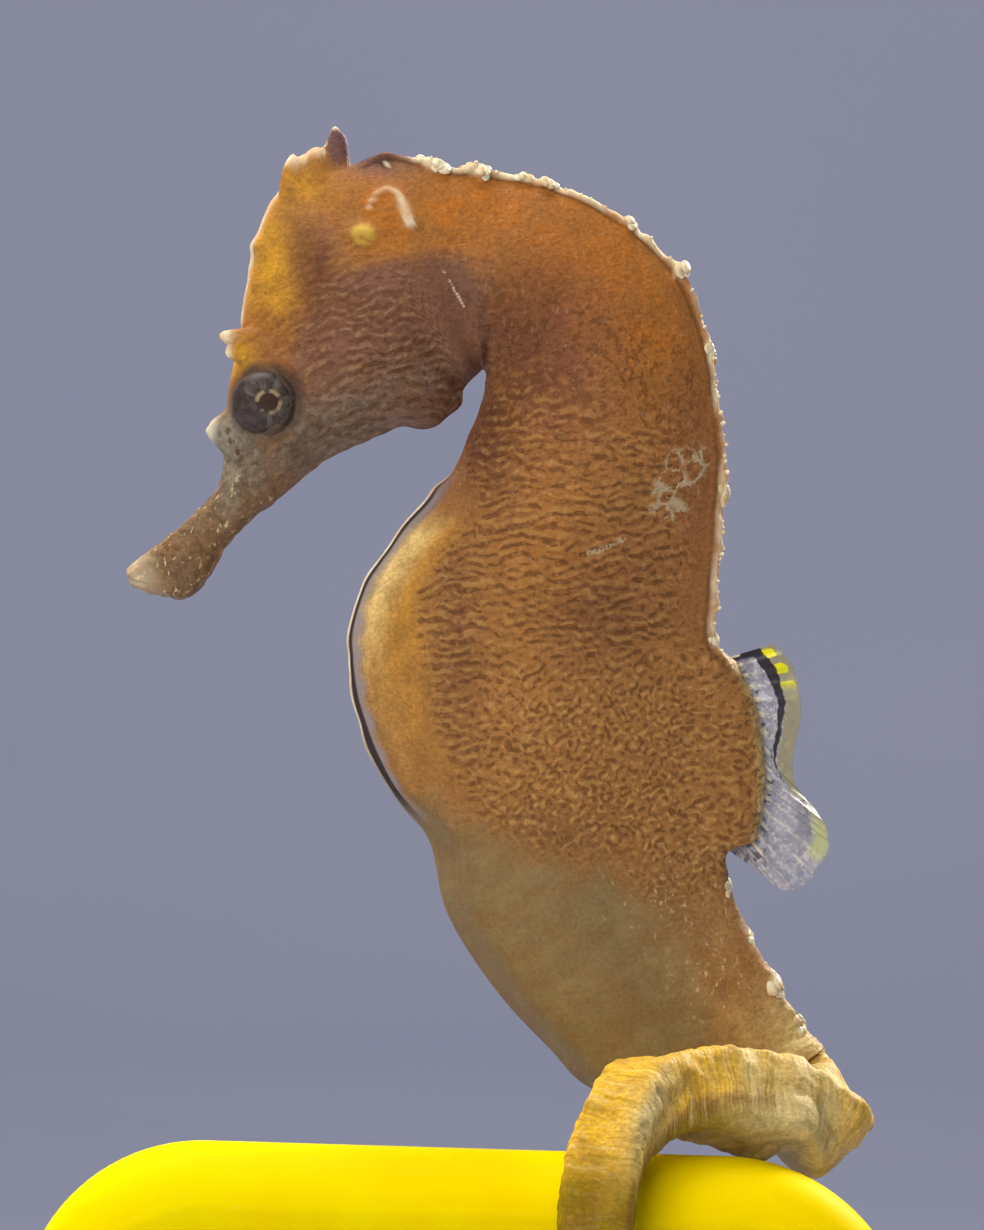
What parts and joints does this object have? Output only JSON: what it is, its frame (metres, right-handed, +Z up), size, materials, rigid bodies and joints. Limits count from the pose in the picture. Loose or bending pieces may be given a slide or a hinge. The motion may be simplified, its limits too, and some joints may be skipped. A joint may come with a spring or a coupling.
{
  "type": "seahorse",
  "caption": "Life-size still model of a lined seahorse, an adult male, its tail coiled round a yellow chain link on a small display stand",
  "frame": {"origin": "centre of the underside of the display stand's base", "axes": "+Z up; the animal faces -X and turns its left side to -Y"},
  "size_m": [0.08, 0.044, 0.1007],
  "materials": {
    "skin_snout": "satin",
    "skin_head": "satin",
    "skin_trunk": "satin",
    "skin_pouch": "satin",
    "skin_tail": "satin",
    "eye": "gloss",
    "fin": "satin",
    "perch_plastic": "gloss",
    "stand_slab": "matte",
    "stand_steel": "satin"
  },
  "bodies": {
    "root": {"snout": "skin_snout", "head": "skin_head", "coronet": "skin_head", "neck": "skin_trunk", "trunk_upper": "skin_trunk", "trunk_lower": "skin_trunk", "brood_pouch": "skin_pouch", "tail_base": "skin_tail", "tail_bend": "skin_tail", "tail_arch": "skin_tail", "tail_front": "skin_tail", "tail_under": "skin_tail", "tail_tip": "skin_tail", "eye_left": "eye", "eye_right": "eye", "dorsal_fin": "fin", "pectoral_fin_left": "fin", "pectoral_fin_right": "fin", "perch_link": "perch_plastic", "stand_base": "stand_slab", "stand_rod_left": "stand_steel", "stand_rod_right": "stand_steel"}
  },
  "joints": []
}
